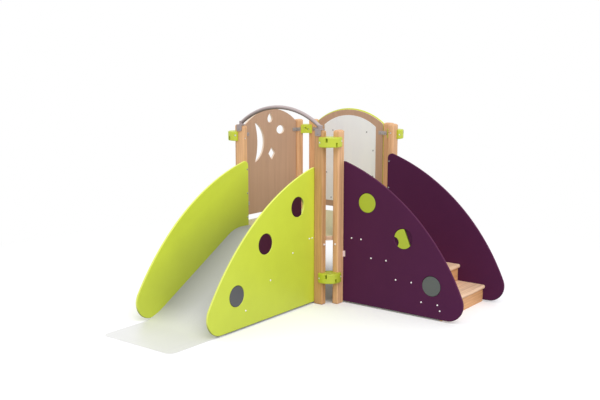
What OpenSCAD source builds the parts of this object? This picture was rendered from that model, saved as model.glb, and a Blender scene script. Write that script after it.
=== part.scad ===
// Toddler climbing gym: a square tower with a deck, a slide on one side, stairs on the next,
// and a cut-out play panel and a mirror panel on the two others.
// Each side has two posts, and each corner joins two neighbouring posts with clamping brackets.
// Millimetres, +Z up, the slide runs towards -Y and the stairs towards +X.

/* [Tower] */
// Distance between the two posts of one side, centre to centre
side_span = 880; // [800:10:960]
// Step from one side's line of posts to the next side's end post
corner_step = 112; // [108:1:124]
// Height of the deck above the ground
deck_h = 600; // [560:10:640]
// Thickness of the deck board
deck_t = 40; // [30:1:46]
// Height of the bearers under the deck
bearer_h = 60; // [50:1:76]
// Thickness of the bearers
bearer_t = 40; // [30:1:50]

/* [Posts] */
// Width of a post, along its side of the tower
post_w = 90; // [80:1:96]
// Depth of a post, across its side of the tower
post_t = 58; // [52:1:64]
// Height of a post
post_h = 1510; // [1470:5:1560]
// Radius of a post's long edges
post_edge_r = 11; // [4:1:16]
// Radius of a post's top edges
post_top_r = 24; // [10:1:25]
// Radius of a post's foot edges
post_foot_r = 12; // [4:1:18]

/* [Corner brackets] */
// Height of a bracket
bracket_h = 84; // [78:1:96]
// Distance from the posts' tops down to the middle of the top brackets
bracket_top_drop = 99; // [90:1:120]
// Height of the middle of the bottom brackets
bracket_low_z = 242; // [180:1:300]
// Reach of the outer bracket past the posts' outer corners
bracket_reach = 65; // [60:1:75]
// Radius of the outer bracket's round front
bracket_front_r = 107; // [104:1:125]
// Radius of the rim of that front
bracket_rim_r = 8; // [3:1:12]
// Lap of the outer bracket over the face of each post
bracket_lap = 28; // [26:1:36]
// Lap of the inner bracket along each post
bracket_inner_lap = 50; // [44:1:56]
// Width of the nut slots in the outer bracket
nut_slot_w = 18; // [14:1:22]
// Wall between a post and its nut slot
nut_slot_wall = 46; // [40:1:60]

/* [Side panels] */
// Thickness of the slide's and the stairs' side panels
panel_t = 19; // [13:1:22]
// Overlap of a side panel behind the post's centre line
panel_back = 16; // [12:1:24]
// Gap between a side panel's lower edge and the ground
panel_rise = 14; // [5:1:25]
// Height of the slide panels at the posts
slide_panel_h = 1203; // [1160:1:1250]
// Length of the slide panels from the post's centre line
slide_panel_l = 1363; // [1280:1:1430]
// Radius of the slide panels' long curve
slide_panel_r = 2120; // [1900:1:2500]
// Radius of the slide panels' nose
slide_nose_r = 148; // [120:1:180]
// Height of the stair panels at the posts
stair_panel_h = 1257; // [1210:1:1300]
// Length of the stair panels from the post's centre line
stair_panel_l = 1176; // [1130:1:1260]
// Radius of the stair panels' long curve
stair_panel_r = 1860; // [1650:1:2200]
// Radius of the stair panels' nose
stair_nose_r = 143; // [115:1:170]
// Radius of a side panel's top back corner
panel_corner_r = 45; // [20:1:60]
// Diameter of the round discs set in the near side panels
disc_d = 168; // [140:1:190]

/* [Slide] */
// Length of the slide from the posts' centre line
slide_l = 1730; // [1600:5:1800]
// Length of the flat lip at the top
slide_lip = 94; // [75:1:125]
// Slope of the slide in degrees
slide_slope = 30.4; // [27:0.1:33]
// Radius of the bend under the lip
slide_top_r = 325; // [250:5:400]
// Radius of the bend at the foot
slide_foot_r = 500; // [400:5:560]
// Thickness of the slide's sheet
slide_sheet_t = 3; // [2:0.5:4]
// Depth of the turned-down edges
slide_edge_d = 30; // [24:1:40]
// Radius of the corners at the slide's end
slide_end_r = 60; // [20:1:120]

/* [Stairs] */
// Distance from the lowest riser to the stair panels' noses
stair_nose_rest = 194; // [150:1:240]
// Overhang of a tread past its riser
step_nosing = 19; // [12:1:36]
// Thickness of a tread
tread_t = 34; // [30:1:46]
// Thickness of a riser
riser_t = 22; // [16:1:28]
// Radius of a tread's front edges
tread_edge_r = 14; // [4:1:14]

/* [Play panels] */
// Thickness of the moon panel and of the mirror's two panels together
play_panel_t = 20; // [16:1:24]
// Height of the play panels' lower edge
play_panel_z = 648; // [642:1:700]
// Height of their shoulders
play_panel_shoulder_z = 1495; // [1460:1:1520]
// Height of their arched tops
play_panel_top_z = 1630; // [1590:1:1660]
// Gap between a play panel and its posts
play_panel_gap = 6; // [3:0.5:10]
// Radius of a play panel's lower corners
play_panel_r = 20; // [5:1:40]
// Height of the crescent cut-out
crescent_h = 376; // [280:1:400]
// Bulge of the crescent's outer edge
crescent_bulge = 136; // [100:1:150]
// Bulge of the crescent's inner edge
crescent_hollow = 36; // [15:1:60]
// Width of the round cut-out, a little wider than tall
moon_hole_w = 120; // [70:1:140]
// Height of the round cut-out
moon_hole_h = 82; // [60:1:110]
// Width of the diamond cut-out
diamond_w = 100; // [60:1:120]
// Height of the diamond cut-out
diamond_h = 122; // [60:1:140]
// Diameter of the drop cut-out's round end
drop_d = 72; // [40:1:76]
// Height of the drop cut-out
drop_h = 97; // [80:1:104]
// Rim of the backing that shows round the mirror's panel
mirror_rim = 12; // [4:1:16]
// Half width of the mirror sheet
mirror_half_w = 300; // [260:1:320]
// Height of the mirror sheet's lower edge
mirror_z = 707; // [695:1:760]
// Height of the mirror sheet's shoulders
mirror_shoulder_z = 1462; // [1420:1:1475]
// Height of the mirror sheet's arched top
mirror_top_z = 1564; // [1530:1:1570]
// Thickness of the mirror sheet
mirror_t = 2; // [1:0.5:3]

/* [Handrail] */
// Diameter of the handrail's tube
rail_d = 33.7; // [28:0.1:42]
// Height of the top of the handrail
rail_top_z = 1703; // [1660:1:1760]
// Width of the handrail's end plates
rail_end_w = 58; // [48:1:64]
// Thickness of the end plates
rail_end_t = 8; // [6:0.5:12]
// Radius of the end plates' lower corners
rail_end_r = 10; // [3:1:16]
// Drop from the posts' tops to the handrail's bolts
rail_bolt_drop = 28; // [28:1:44]
// Reach of an end plate below its bolt
rail_end_drop = 22; // [18:1:30]
// Height of the arch's ends above the posts' tops
rail_end_rise = 23; // [16:1:40]
// Wall of the sockets that hold the arch's ends
rail_socket_t = 3; // [2:0.5:4]

/* [Fixings] */
// Diameter of the brackets' and bearers' bolts
bolt_d = 10; // [8:0.5:12]
// Diameter of those bolts' heads
bolt_head_d = 18; // [15:0.5:20]
// Height of those bolts' heads and nuts
bolt_head_h = 7; // [5:0.5:8]
// Diameter of the coach screws and panel screws
screw_d = 7; // [5:0.5:8]
// Diameter of the screws' heads
screw_head_d = 15; // [12:0.5:16]
// Height of the screws' heads
screw_head_h = 4.5; // [3:0.5:6]
// Length of a screw in the wood
screw_bite = 46; // [30:1:50]
// Thickness of the clips and cleats
clip_t = 4; // [3:0.5:5]
// Height of the clips that hold the play panels
clip_h = 34; // [28:1:50]
// Leg of a clip on the panel
clip_panel_leg = 62; // [54:1:74]
// Leg of a clip on the post
clip_post_leg = 36; // [30:1:38]
// Leg of a cleat between a post and a stair panel
cleat_leg = 16; // [12:1:24]
// Height of a cleat
cleat_h = 52; // [40:1:70]

/* [Hidden] */
$fn = 64;
// Steps of a short round and of a long curve
round_n = 6;
curve_n = 48;
rail_n = 360;
// Clearance of a seated face and of a screw in its hole
seat_gap = 0.2;
hole_gap = 0.4;
// Overrun of a cut
over = 2;
// Length that reaches through the whole object
far = side_span + slide_l;

half_span = side_span / 2;
post_line = half_span + corner_step;
half_w = post_w / 2;
half_t = post_t / 2;
post_in = half_span - half_w;
post_out = half_span + half_w;
post_face = post_line + half_t;
post_back = post_line - half_t;
inner_w = 2 * (post_in - panel_t - seat_gap);
deck_half = post_back - seat_gap;
deck_tongue = inner_w / 2;
bearer_top = deck_h - deck_t;
bearer_mid = bearer_top - bearer_h / 2;
bearer_bite = 60;

levels = [bracket_low_z, post_h - bracket_top_drop];
// Heights of the bolts in a bracket as shares of its height, for its first and second post
wide_bolt_shares = [0.19, -0.21];
lap_bolt_shares = [-0.03, 0.1];
// Lower and upper ends of the nut slots as shares of the bracket's height
nut_slot_shares = [[0.02, 0.42], [-0.43, -0.02]];
nut_slot_d = bolt_head_d;
nut_x = post_out + nut_slot_wall;
lap_x = post_out - bracket_lap / 2;
// Wood or plastic under a bolt head or nut
bracket_seat = 18;
inner_seat = 14;
head_sink = 2;

// The round front of an outer bracket, on the corner's diagonal
corner_mid = (post_out + post_face) / 2;
front_c = corner_mid + (bracket_reach - bracket_front_r) / sqrt(2);
bracket_far = front_c + bracket_front_r;

// The whole object's box, which puts the origin in the middle of its footprint
tower_x = (bracket_far - post_line - stair_panel_l) / 2;
tower_y = (post_line + slide_l - bracket_far) / 2;

// Fixing heights on the posts
fix_top_drop = 90;
fix_deck_rise = 76;
slide_fix_z = fix_heights(slide_panel_h);
stair_fix_z = fix_heights(stair_panel_h);
cleat_drop = 189;
cleat_z = deck_h - cleat_drop;
clip_low_rise = 110;
clip_z = [play_panel_z + clip_low_rise, levels[1]];
clip_panel_bolt_share = 0.71;
clip_post_bolt_share = 0.55;
// A clip's screw stops short of the bracket's bolt in the middle of the post
clip_bite = half_t - bolt_d / 2 - 2 * over;

// Places of the discs as shares of a panel's length and height
slide_disc_shares = [[0.1855, 0.7315], [0.497, 0.529], [0.755, 0.235]];
stair_disc_shares = [[0.223, 0.717], [0.5255, 0.507], [0.755, 0.222]];
// Finger gaps of the cut discs as shares of the disc's radius
slide_gap_share = 0.6;
stair_gap_shares = [[0.14, 0.91], [0.82, -0.67]];
stair_notch_shares = [-1.02, -0.42];
stair_notch_r_share = 0.52;

// Slide: where its straight run starts and its foot bend ends
slide_run_z = slide_sheet_t;
slide_bend_a = slide_lip + slide_top_r * sin(slide_slope);
slide_bend_z = deck_h - slide_top_r * (1 - cos(slide_slope));
slide_foot_z = slide_run_z + slide_foot_r * (1 - cos(slide_slope));
slide_foot_a = slide_bend_a + (slide_bend_z - slide_foot_z) / tan(slide_slope);
slide_flat_a = slide_foot_a + slide_foot_r * sin(slide_slope);
slide_edge_end = slide_panel_l - slide_nose_r;
// Places of the slide's screws as shares of its lip, its slope and its edges' depth
lip_screw_shares = [0.55, 0.98];
slope_screw_shares = [0.077, 0.436, 0.811];
slide_screw_depth_share = 0.5;

// Stairs
step_count = 4;
step_rise = deck_h / step_count;
step_going = (stair_panel_l - stair_nose_rest) / step_count;
tread_screw_shares = [0.295, 0.815];
landing_screw_shares = [0.41, 0.775];
riser_screw_share = 0.58;

// Play panels: places of the cut-outs as shares of the half width and of the height to the shoulders
play_half_w = post_in - play_panel_gap;
crescent_shares = [0.63, 0.8];
moon_hole_shares = [-0.36, 0.917];
diamond_shares = [-0.013, 0.655];
drop_shares = [0.052, 1.05];
mirror_panel_t = play_panel_t / 2;
// Mirror screws as shares of the sheet's half width and height
mirror_screw_shares = [[0.66, 0.93], [0.91, 0.7], [0.91, 0.37], [0.72, 0.04]];

// Handrail: an arc over the two slide posts, with its ends in upright sockets
rail_bolt_z = post_h - rail_bolt_drop;
rail_end_z = post_h + rail_end_rise;
rail_rise = rail_top_z - rail_d / 2 - rail_end_z;
rail_r = bulge_r(half_span, rail_rise);
rail_sweep = 2 * asin(half_span / rail_r);
rail_plate_y = -post_face - seat_gap;
rail_seat_z = post_h + seat_gap;

lime = "#c8d945";
purple = "#54264a";
brown = "#a98466";
pine = "#e0b383";
steel = "#c9ccd0";

// Outline helpers

function unit(v) = v / norm(v);

// Radius of an arc over a chord of this half length with this bulge
function bulge_r(half, bulge) = (half * half + bulge * bulge) / (2 * bulge);

// Points of an arc
function arc(c, r, from, to, n) =
    [for (i = [0:n]) let (t = from + (to - from) * i / n) c + r * [cos(t), sin(t)]];

function angle_of(v) = atan2(v[1], v[0]);

// Centre of the circle through p with radius r that holds the circle of radius s round q, below both
function holding_centre(p, q, r, s) =
    let (d = norm(q - p), u = (q - p) / d, x = (r * r - (r - s) * (r - s) + d * d) / (2 * d))
    p + u * x + [u[1], -u[0]] * sqrt(r * r - x * x);

// The corner at q between p and s, rounded
function round_corner(p, q, s, r) =
    let (u = unit(p - q), v = unit(s - q), h = acos(u * v) / 2)
    let (c = q + unit(u + v) * r / sin(h), a = q + u * r / tan(h) - c, b = q + v * r / tan(h) - c)
    let (from = angle_of(a), turn = atan2(a[0] * b[1] - a[1] * b[0], a * b))
    arc(c, r, from, from + turn, round_n);

// An outline of [x, y, r] corners, each rounded by its r
function rounded(pts) =
    let (n = len(pts), at = [for (p = pts) [p[0], p[1]]])
    [for (i = [0:n - 1]) each
        (pts[i][2] > 0 ? round_corner(at[(i + n - 1) % n], at[i], at[(i + 1) % n], pts[i][2]) : [at[i]])];

function reversed(list) = [for (i = [len(list) - 1:-1:0]) list[i]];

function fix_heights(panel_h) =
    let (top = panel_h - fix_top_drop, low = deck_h + fix_deck_rise)
    [low, (low + top) / 2, top];

// Placing helpers

// Puts the tower's middle where the whole object's footprint is centred
module in_tower() {
    translate([tower_x, tower_y, 0])
        children();
}

// One side of the tower, drawn as the slide's: 0 slide, 1 stairs, 2 mirror, 3 moon
module side(k) {
    in_tower()
        rotate([0, 0, 90 * k])
            children();
}

// One post's place, drawn as the slide's near post: corner 0 near, 1 right, 2 back, 3 left
module at_post(k, second) {
    side(k)
        mirror(second == 1 ? [1, 1, 0] : [0, 0, 0])
            children();
}

// The two ends of one side, drawn as the slide's near end
module both_ends() {
    children();
    mirror([1, 0, 0])
        children();
}

module along_x(x, y, z) {
    translate([x, y, z])
        rotate([0, 90, 0])
            children();
}

module along_y(x, y, z) {
    translate([x, y, z])
        rotate([-90, 0, 0])
            children();
}

// A plate with an outline of [distance out from the posts' line, height], its outer face at x
module upright_plate(x, t, outline) {
    translate([x, -post_line, 0])
        rotate([90, 0, -90])
            linear_extrude(t)
                polygon(outline);
}

// A plate across a side with an outline of [x, height], from y towards the outside
module cross_plate(y, t, outline) {
    translate([0, y, 0])
        rotate([90, 0, 0])
            linear_extrude(t)
                polygon(outline);
}

// Fixings

// A bolt with its head below z = 0 and its shank above
module bolt(length) {
    translate([0, 0, -bolt_head_h])
        cylinder(h = bolt_head_h, d1 = bolt_head_d * 0.7, d2 = bolt_head_d);
    translate([0, 0, -over])
        cylinder(h = length + over, d = bolt_d);
}

module nut(z) {
    translate([0, 0, z + seat_gap])
        difference() {
            cylinder(h = bolt_head_h, d = bolt_head_d, $fn = 6);
            translate([0, 0, -over])
                cylinder(h = bolt_head_h + 2 * over, d = bolt_d + 2 * seat_gap);
        }
}

module screw(length) {
    translate([0, 0, -screw_head_h])
        cylinder(h = screw_head_h, d1 = screw_head_d * 0.55, d2 = screw_head_d);
    translate([0, 0, -over])
        cylinder(h = length + over, d = screw_d);
}

module bolt_hole(length) {
    translate([0, 0, -over])
        cylinder(h = length + 2 * over, d = bolt_d + 2 * hole_gap);
}

module screw_hole(length) {
    translate([0, 0, -over])
        cylinder(h = length + 2 * over, d = screw_d + 2 * hole_gap);
}

function wide_z(level, second) = level + bracket_h * wide_bolt_shares[second];
function lap_z(level, second) = level + bracket_h * lap_bolt_shares[second];

wide_from = post_in + bolt_head_h + head_sink;
wide_length = nut_x - wide_from;
lap_from = -post_face - bracket_seat;
lap_length = bracket_seat + post_t + inner_seat;
nut_reach = bolt_head_h + 2 * seat_gap;

// The bolts' places in one post and its brackets: along the post's width and through its depth
module wide_bolt_places(second) {
    for (level = levels)
        along_x(wide_from, -post_line, wide_z(level, second))
            children();
}

module lap_bolt_places(second) {
    for (level = levels)
        along_y(lap_x, lap_from, lap_z(level, second))
            children();
}

// Posts

// Outline of a post seen from one side, w wide, with its top and foot edges rounded
function post_side(w) = let (h = w / 2) concat(
    [[h + over, post_foot_r], [h + over, post_h - post_top_r]],
    arc([h - post_top_r, post_h - post_top_r], post_top_r, 0, 90, round_n),
    arc([post_top_r - h, post_h - post_top_r], post_top_r, 90, 180, round_n),
    [[-h - over, post_h - post_top_r], [-h - over, post_foot_r]],
    arc([post_foot_r - h, post_foot_r], post_foot_r, 180, 270, round_n),
    arc([h - post_foot_r, post_foot_r], post_foot_r, 270, 360, round_n));

module post_blank() {
    r = post_edge_r;
    intersection() {
        linear_extrude(post_h)
            polygon(rounded([[half_w, half_t, r], [-half_w, half_t, r],
                [-half_w, -half_t, r], [half_w, -half_t, r]]));
        rotate([90, 0, 0])
            linear_extrude(post_t + 2 * over, center = true)
                polygon(post_side(post_w));
        rotate([90, 0, 90])
            linear_extrude(post_w + 2 * over, center = true)
                polygon(post_side(post_t));
    }
}

// A post with the holes that every post has, and those that its side needs
module post(k, second, fix_z = [], rail = false, clips = false) {
    color(pine)
        at_post(k, second)
            difference() {
                translate([half_span, -post_line, 0])
                    post_blank();
                wide_bolt_places(second)
                    bolt_hole(wide_length);
                for (level = levels)
                    along_x(post_in - over, -post_line, wide_z(level, second))
                        cylinder(h = wide_from - post_in + over, d = bolt_head_d + 2 * hole_gap);
                lap_bolt_places(second)
                    bolt_hole(lap_length);
                along_x(post_in, -post_line, bearer_mid)
                    bolt_hole(post_w);
                for (z = fix_z)
                    along_x(post_in, -post_line, z)
                        screw_hole(screw_bite);
                if (rail)
                    along_y(half_span, -post_face, rail_bolt_z)
                        screw_hole(screw_bite);
                if (clips)
                    for (z = clip_z)
                        clip_post_screw_place(z)
                            screw_hole(clip_t + clip_bite);
            }
}

// Brackets

// Plan of an outer bracket, in front of both posts and across the slit between them
outer_plan = [
    [post_out + seat_gap, -post_back], [post_back, -post_out - seat_gap],
    [post_face + seat_gap, -post_out - seat_gap], [post_face + seat_gap, bracket_lap - post_out],
    [bracket_far + over, bracket_lap - post_out], [bracket_far + over, -bracket_far - over],
    [post_out - bracket_lap, -bracket_far - over], [post_out - bracket_lap, -post_face - seat_gap],
    [post_out + seat_gap, -post_face - seat_gap]
];

module outer_bracket(k, upper) {
    level = levels[upper];
    half_h = bracket_h / 2;
    r = bracket_rim_r;
    color(lime)
        side(k)
            difference() {
                intersection() {
                    translate([0, 0, level - half_h])
                        linear_extrude(bracket_h)
                            polygon(outer_plan);
                    translate([front_c, -front_c, level])
                        rotate_extrude()
                            polygon(rounded([[0, -half_h, 0], [bracket_front_r, -half_h, r],
                                [bracket_front_r, half_h, r], [0, half_h, 0]]));
                }
                for (second = [0, 1])
                    mirror(second == 1 ? [1, 1, 0] : [0, 0, 0])
                        outer_bracket_cuts(level, second);
            }
}

// The nut slot, the seat of the lap bolt and the two bolts' holes on one post's half of the bracket
module outer_bracket_cuts(level, second) {
    slot = bracket_h * nut_slot_shares[second];
    translate([nut_x, -bracket_far - over, level + slot[0]])
        cube([nut_slot_w, bracket_far + over - post_line + nut_slot_d / 2 + hole_gap, slot[1] - slot[0]]);
    along_x(post_out, -post_line, wide_z(level, second))
        bolt_hole(nut_slot_wall);
    along_y(lap_x, lap_from, lap_z(level, second)) {
        bolt_hole(bracket_seat);
        translate([0, 0, -bracket_far])
            cylinder(h = bracket_far, d = bolt_head_d + 2 * hole_gap);
    }
}

// Plan of an inner bracket, a wedge across the slit on the inside
inner_plan = [
    [post_out, -post_back + seat_gap, 0],
    [post_back - seat_gap, -post_out, 0],
    [post_back - seat_gap, bracket_inner_lap - post_out, bracket_rim_r / 2],
    [post_out - bracket_inner_lap, -post_back + seat_gap, bracket_rim_r / 2]
];

module inner_bracket(k, upper) {
    level = levels[upper];
    color(lime)
        side(k)
            difference() {
                translate([0, 0, level - bracket_h / 2])
                    linear_extrude(bracket_h)
                        polygon(rounded(inner_plan));
                for (second = [0, 1])
                    mirror(second == 1 ? [1, 1, 0] : [0, 0, 0])
                        along_y(lap_x, -post_back, lap_z(level, second)) {
                            bolt_hole(inner_seat);
                            translate([0, 0, inner_seat])
                                cylinder(h = bracket_inner_lap, d = bolt_head_d + 2 * hole_gap);
                        }
            }
}

module corner_bolts() {
    color(steel)
        for (k = [0:3], second = [0, 1])
            at_post(k, second) {
                wide_bolt_places(second)
                    bolt(wide_length + nut_reach);
                lap_bolt_places(second)
                    bolt(lap_length + nut_reach);
            }
}

module corner_nuts() {
    color(steel)
        for (k = [0:3], second = [0, 1])
            at_post(k, second) {
                wide_bolt_places(second)
                    nut(wide_length);
                lap_bolt_places(second)
                    nut(lap_length);
            }
}

// Side panels

// Outline of a side panel: a long curve down to a round nose, straight below and at the back
function side_outline(height, length, long_r, nose_r) =
    let (low = [-panel_back, panel_rise], top = [-panel_back, height])
    let (nose = [length - nose_r, panel_rise + nose_r])
    let (c = holding_centre(top, nose, long_r, nose_r))
    let (x = panel_corner_r - panel_back, reach = long_r - panel_corner_r)
    let (corner = [x, c[1] + sqrt(reach * reach - (x - c[0]) * (x - c[0]))])
    let (from = angle_of(corner - c), to = angle_of(nose - c), curve = arc(c, long_r, from, to, curve_n))
    let (round_nose = arc(nose, nose_r, to, -90, curve_n / 2))
    concat([low], arc(corner, panel_corner_r, 180, from, 2 * round_n),
        [for (i = [1:curve_n - 1]) curve[i]], round_nose);

slide_outline = side_outline(slide_panel_h, slide_panel_l, slide_panel_r, slide_nose_r);
stair_outline = side_outline(stair_panel_h, stair_panel_l, stair_panel_r, stair_nose_r);
slide_disc_places = [for (s = slide_disc_shares) [s[0] * slide_panel_l, s[1] * slide_panel_h]];
stair_disc_places = [for (s = stair_disc_shares) [s[0] * stair_panel_l, s[1] * stair_panel_h]];

module side_panel(outline, fix_z, screws, discs) {
    difference() {
        upright_plate(post_in, panel_t, outline);
        for (z = fix_z)
            along_x(post_in - panel_t, -post_line, z)
                screw_hole(panel_t);
        along_x(post_in - panel_t, -post_line, bearer_mid)
            bolt_hole(panel_t);
        for (p = screws)
            along_x(post_in - panel_t, -post_line - p[0], p[1])
                screw_hole(panel_t);
        for (p = discs)
            along_x(post_in - panel_t - over, -post_line - p[0], p[1])
                cylinder(h = panel_t + 2 * over, d = disc_d);
    }
}

module slide_panel(k, second, discs) {
    color(lime)
        at_post(k, second)
            side_panel(slide_outline, slide_fix_z, slide_screws, discs);
}

module stair_panel(k, second, discs) {
    color(purple)
        at_post(k, second)
            side_panel(stair_outline, stair_fix_z, stair_screws, discs);
}

// A disc flush with both faces of its panel, with its cuts drawn in shares of its radius
module disc(place) {
    r = disc_d / 2 - seat_gap;
    translate([post_in, -post_line - place[0], place[1]])
        rotate([90, 0, -90])
            linear_extrude(panel_t)
                difference() {
                    circle(r);
                    scale(r)
                        children();
                }
}

// The cut of the slide's upper disc: a straight edge on the tower's side
module slide_disc_cut() {
    translate([-2, -1])
        square([2 - slide_gap_share, 2]);
}

// The cut of the stairs' middle disc: a slanted straight edge and a round notch
module stair_disc_cut() {
    a = stair_gap_shares[0];
    b = stair_gap_shares[1];
    polygon([2 * a - b, 2 * b - a, [2, -1], [2, 2]]);
    translate(stair_notch_shares)
        circle(stair_notch_r_share);
}

// Play panels

// Outline of an arched panel
function arched(half, z, shoulder_z, top_z, r) =
    let (rise = top_z - shoulder_z, long_r = bulge_r(half, rise), sweep = asin(half / long_r))
    concat(round_corner([half, shoulder_z], [half, z], [-half, z], r),
        round_corner([half, z], [-half, z], [-half, shoulder_z], r),
        arc([0, top_z - long_r], long_r, 90 + sweep, 90 - sweep, curve_n));

function play_place(shares) =
    [shares[0] * play_half_w, play_panel_z + shares[1] * (play_panel_shoulder_z - play_panel_z)];

module play_panel_screw_holes(y, t) {
    both_ends()
        for (z = clip_z)
            along_y(clip_panel_x, y - t, z)
                screw_hole(t);
}

// A crescent between two arcs through the same two tips, its middle between them
function crescent() =
    let (h = crescent_h / 2, outer_r = bulge_r(h, crescent_bulge), inner_r = bulge_r(h, crescent_hollow))
    let (outer_x = outer_r - crescent_bulge, inner_x = inner_r - crescent_hollow)
    let (outer_a = angle_of([-outer_x, h]), inner_a = angle_of([-inner_x, h]))
    let (hollow = arc([inner_x, 0], inner_r, 360 - inner_a, inner_a, curve_n))
    concat(arc([outer_x, 0], outer_r, outer_a, 360 - outer_a, curve_n),
        [for (i = [1:curve_n - 1]) hollow[i]]);

// A drop: a round end with two tangents that meet in a point above
function drop() =
    let (r = drop_d / 2, tip = drop_h - r, touch = asin(r / tip))
    concat([[0, tip]], arc([0, 0], r, 180 - touch, 360 + touch, curve_n));

module moon_cut_outs() {
    translate(play_place(crescent_shares))
        polygon(crescent());
    translate(play_place(moon_hole_shares))
        polygon([for (p = arc([0, 0], 1, 0, 360 - 360 / curve_n, curve_n - 1))
            [p[0] * moon_hole_w / 2, p[1] * moon_hole_h / 2]]);
    translate(play_place(diamond_shares))
        polygon([[diamond_w / 2, 0], [0, diamond_h / 2], [-diamond_w / 2, 0], [0, -diamond_h / 2]]);
    translate(play_place(drop_shares))
        polygon(drop());
}

module moon_panel() {
    half_d = play_panel_t / 2;
    color(brown)
        side(3)
            difference() {
                cross_plate(half_d - post_line, play_panel_t,
                    arched(play_half_w, play_panel_z, play_panel_shoulder_z, play_panel_top_z, play_panel_r));
                translate([0, half_d + over - post_line, 0])
                    rotate([90, 0, 0])
                        linear_extrude(play_panel_t + 2 * over)
                            moon_cut_outs();
                play_panel_screw_holes(half_d - post_line, play_panel_t);
            }
}

module mirror_panel() {
    half = play_half_w - mirror_rim;
    top_z = play_panel_top_z - mirror_rim;
    color(brown)
        side(2)
            difference() {
                cross_plate(mirror_panel_t - post_line, mirror_panel_t - seat_gap,
                    arched(half, play_panel_z, play_panel_shoulder_z, top_z, play_panel_r));
                play_panel_screw_holes(mirror_panel_t - post_line, mirror_panel_t);
                mirror_screw_places()
                    screw_hole(mirror_panel_t);
            }
}

module mirror_backing() {
    color(lime)
        side(2)
            difference() {
                cross_plate(-post_line, mirror_panel_t,
                    arched(play_half_w, play_panel_z, play_panel_shoulder_z, play_panel_top_z, play_panel_r));
                play_panel_screw_holes(-post_line, mirror_panel_t);
            }
}

mirror_face = mirror_panel_t + seat_gap + mirror_t - post_line;

module mirror_screw_places() {
    both_ends()
        for (s = mirror_screw_shares)
            translate([s[0] * mirror_half_w, mirror_face, mirror_z + s[1] * (mirror_shoulder_z - mirror_z)])
                rotate([90, 0, 0])
                    children();
}

module mirror_sheet() {
    color(steel)
        side(2)
            difference() {
                cross_plate(mirror_face, mirror_t,
                    arched(mirror_half_w, mirror_z, mirror_shoulder_z, mirror_top_z, play_panel_r));
                mirror_screw_places()
                    screw_hole(mirror_t);
            }
}

// Clips and cleats

clip_x = post_in - seat_gap;
clip_panel_x = clip_x - clip_panel_leg * clip_panel_bolt_share;
clip_panel_y = play_panel_t / 2 + seat_gap;
clip_post_y = half_t + seat_gap;
// Plan of a clip: one leg on the panel's inner face, a step along the post, one leg on the post's inner face
clip_plan = [
    [clip_x - clip_panel_leg, clip_panel_y], [clip_x, clip_panel_y], [clip_x, clip_post_y],
    [clip_x + clip_post_leg, clip_post_y], [clip_x + clip_post_leg, clip_post_y + clip_t],
    [clip_x - clip_t, clip_post_y + clip_t], [clip_x - clip_t, clip_panel_y + clip_t],
    [clip_x - clip_panel_leg, clip_panel_y + clip_t]
];

module clip_post_screw_place(z) {
    translate([clip_x + clip_post_leg * clip_post_bolt_share, clip_post_y + clip_t - post_line, z])
        rotate([90, 0, 0])
            children();
}

module clip_panel_screw_place(z) {
    translate([clip_panel_x, clip_panel_y + clip_t - post_line, z])
        rotate([90, 0, 0])
            children();
}

module panel_clips() {
    color(steel)
        for (k = [2, 3])
            side(k)
                both_ends()
                    for (z = clip_z)
                        difference() {
                            translate([0, -post_line, z - clip_h / 2])
                                linear_extrude(clip_h)
                                    polygon(clip_plan);
                            clip_post_screw_place(z)
                                screw_hole(clip_t);
                            clip_panel_screw_place(z)
                                screw_hole(clip_t);
                        }
}

module panel_cleats() {
    x = post_in + seat_gap;
    y = post_face + seat_gap;
    color(steel)
        side(1)
            both_ends()
                translate([0, 0, cleat_z])
                    linear_extrude(cleat_h)
                        polygon([
                            [x, -y], [x + cleat_leg, -y], [x + cleat_leg, -y - clip_t],
                            [x + clip_t, -y - clip_t], [x + clip_t, -y - cleat_leg], [x, -y - cleat_leg]
                        ]);
}

// Deck and bearers

deck_side = [
    [-post_out, -deck_half], [-deck_tongue, -deck_half], [-deck_tongue, -post_line],
    [deck_tongue, -post_line], [deck_tongue, -deck_half], [post_out, -deck_half]
];

module deck_board() {
    color("#9a927c")
        in_tower()
            translate([0, 0, bearer_top])
                linear_extrude(deck_t)
                    polygon([for (k = [0:3], p = deck_side)
                        [p[0] * cos(90 * k) - p[1] * sin(90 * k), p[0] * sin(90 * k) + p[1] * cos(90 * k)]]);
}

// A bearer between the posts of one side, end is its distance from the posts' inner faces
module bearer(k, end) {
    half = post_in - end - seat_gap;
    color(pine)
        side(k)
            difference() {
                translate([-half, -post_line - bearer_t / 2, bearer_top - bearer_h])
                    cube([2 * half, bearer_t, bearer_h]);
                both_ends()
                    along_x(half - bearer_bite, -post_line, bearer_mid)
                        bolt_hole(bearer_bite);
            }
}

module bearer_bolts() {
    color(steel)
        for (k = [0:3])
            side(k)
                both_ends()
                    translate([post_out, -post_line, bearer_mid])
                        rotate([0, -90, 0])
                            bolt(post_w + bearer_bite);
}

// Slide

// The slide's surface, or a line this far under it, as [distance out, height]
function slide_line(under) = concat(
    [[seat_gap, deck_h - under]],
    arc([slide_lip, deck_h - slide_top_r], slide_top_r - under, 90, 90 - slide_slope, curve_n / 3),
    arc([slide_flat_a, slide_run_z + slide_foot_r], slide_foot_r + under, 270 - slide_slope, 270,
        curve_n / 3),
    [[slide_l, slide_run_z - under]]);

function slide_band(depth) = concat(slide_line(0), reversed(slide_line(depth)));

// Height of the slide's surface on its straight slope
function slope_z(a) = slide_bend_z - (a - slide_bend_a) * tan(slide_slope);

slide_screw_depth = slide_edge_d * slide_screw_depth_share;
slide_screws = concat(
    [for (s = lip_screw_shares) [s * slide_lip, deck_h - slide_screw_depth]],
    [for (s = slope_screw_shares)
        let (a = slide_bend_a + s * (slide_foot_a - slide_bend_a))
        [a, slope_z(a) - slide_screw_depth / cos(slide_slope)]]);

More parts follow.
